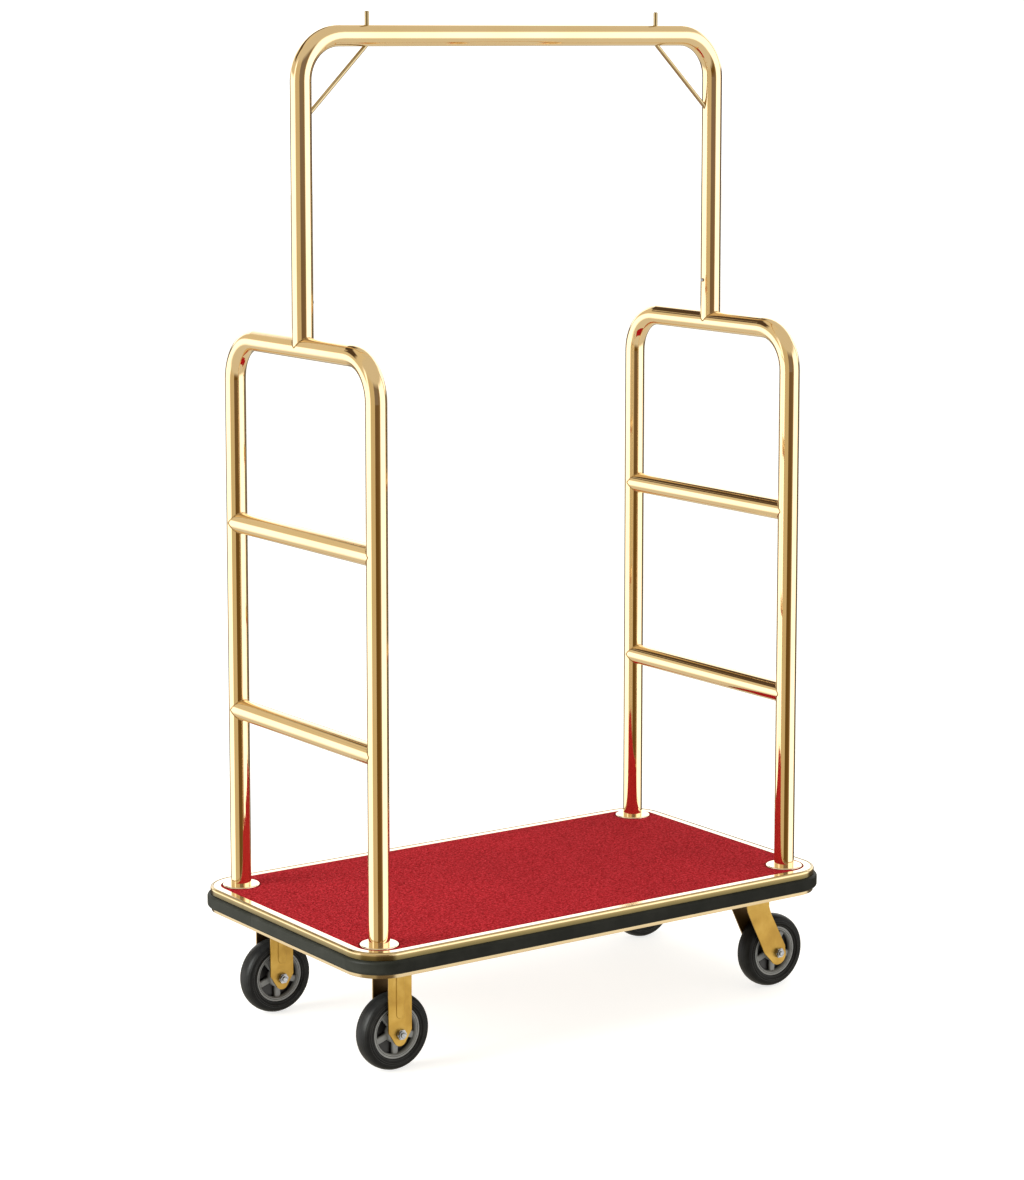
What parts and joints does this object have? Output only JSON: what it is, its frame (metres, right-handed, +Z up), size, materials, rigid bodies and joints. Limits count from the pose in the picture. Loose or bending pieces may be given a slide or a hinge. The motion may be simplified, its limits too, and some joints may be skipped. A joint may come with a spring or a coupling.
{
  "type": "hotel luggage cart",
  "caption": "Hotel luggage cart with polished gold tube hoops, a hanging rail arch, a carpeted deck with rubber bumper, fixed casters at one end and swivel casters at the other.",
  "frame": {"origin": "on the floor under the centre of the deck", "axes": "+X along the deck towards the swivel casters, +Y across the deck, +Z up; the lock nuts of the axles face -Y"},
  "size_m": [1.0478, 0.6096, 1.8542],
  "materials": {
    "gold_tube": "mirror polished titanium gold",
    "gold_edge": "polished gold",
    "carpet": "short dense pile, red",
    "bumper": "matt black rubber",
    "board": "plywood",
    "underframe": "satin black",
    "inner_steel": "machined",
    "caster_gold": "satin gold plating",
    "zinc": "zinc plated",
    "tyre": "matt black",
    "hub": "grey moulded"
  },
  "bodies": {
    "cart": {"deck_board": "board", "carpet": "carpet", "edge_channel": "gold_edge", "binding_strip": "gold_edge", "bumper_strip": "bumper", "left_cross_rail": "underframe", "right_cross_rail": "underframe", "front_long_rail": "underframe", "rear_long_rail": "underframe", "centre_cross_rail": "underframe", "left_hoop_tube": "gold_tube", "right_hoop_tube": "gold_tube", "left_upper_rung": "gold_tube", "left_lower_rung": "gold_tube", "right_upper_rung": "gold_tube", "right_lower_rung": "gold_tube", "left_arch_stub": "gold_tube", "right_arch_stub": "gold_tube", "left_arch_spigot": "inner_steel", "right_arch_spigot": "inner_steel", "hanger_arch": "gold_tube", "left_stop_rod": "gold_tube", "right_stop_rod": "gold_tube", "arch_lock_screws": "zinc", "post_flanges": "gold_tube", "post_foot_plugs": "inner_steel", "post_bolts": "zinc", "caster_plate_bolts": "zinc", "caster_plate_nuts": "zinc", "rigid_axle_bolts": "zinc", "rigid_axle_nuts": "zinc", "rigid_axle_sleeves": "inner_steel", "front_rigid_bracket": "caster_gold", "rear_rigid_bracket": "caster_gold", "front_swivel_plate": "caster_gold", "rear_swivel_plate": "caster_gold", "front_kingpin": "zinc", "rear_kingpin": "zinc"},
    "front_swivel": {"front_swivel_fork": "caster_gold", "front_swivel_axle_bolt": "zinc", "front_swivel_axle_nut": "zinc", "front_swivel_axle_sleeve": "inner_steel"},
    "rear_swivel": {"rear_swivel_fork": "caster_gold", "rear_swivel_axle_bolt": "zinc", "rear_swivel_axle_nut": "zinc", "rear_swivel_axle_sleeve": "inner_steel"},
    "front_rigid_wheel": {"front_rigid_tyre": "tyre", "front_rigid_hub": "hub", "front_rigid_bearings": "inner_steel"},
    "rear_rigid_wheel": {"rear_rigid_tyre": "tyre", "rear_rigid_hub": "hub", "rear_rigid_bearings": "inner_steel"},
    "front_swivel_wheel": {"front_swivel_tyre": "tyre", "front_swivel_hub": "hub", "front_swivel_bearings": "inner_steel"},
    "rear_swivel_wheel": {"rear_swivel_tyre": "tyre", "rear_swivel_hub": "hub", "rear_swivel_bearings": "inner_steel"}
  },
  "joints": [
    {"name": "front_swivel_turn", "type": "hinge", "parent": "cart", "child": "front_swivel", "pos_m": [0.40177, -0.2021, 0.189], "axis": [0, 0, 1], "continuous": true},
    {"name": "rear_swivel_turn", "type": "hinge", "parent": "cart", "child": "rear_swivel", "pos_m": [0.40177, 0.2021, 0.189], "axis": [0, 0, 1], "continuous": true},
    {"name": "front_rigid_wheel_spin", "type": "hinge", "parent": "cart", "child": "front_rigid_wheel", "pos_m": [-0.40847, -0.2021, 0.07], "axis": [0, 1, 0], "continuous": true},
    {"name": "rear_rigid_wheel_spin", "type": "hinge", "parent": "cart", "child": "rear_rigid_wheel", "pos_m": [-0.40847, 0.2021, 0.07], "axis": [0, 1, 0], "continuous": true},
    {"name": "front_swivel_wheel_spin", "type": "hinge", "parent": "front_swivel", "child": "front_swivel_wheel", "pos_m": [0.45377, -0.2021, 0.07], "axis": [0, 1, 0], "continuous": true},
    {"name": "rear_swivel_wheel_spin", "type": "hinge", "parent": "rear_swivel", "child": "rear_swivel_wheel", "pos_m": [0.45377, 0.2021, 0.07], "axis": [0, 1, 0], "continuous": true}
  ]
}
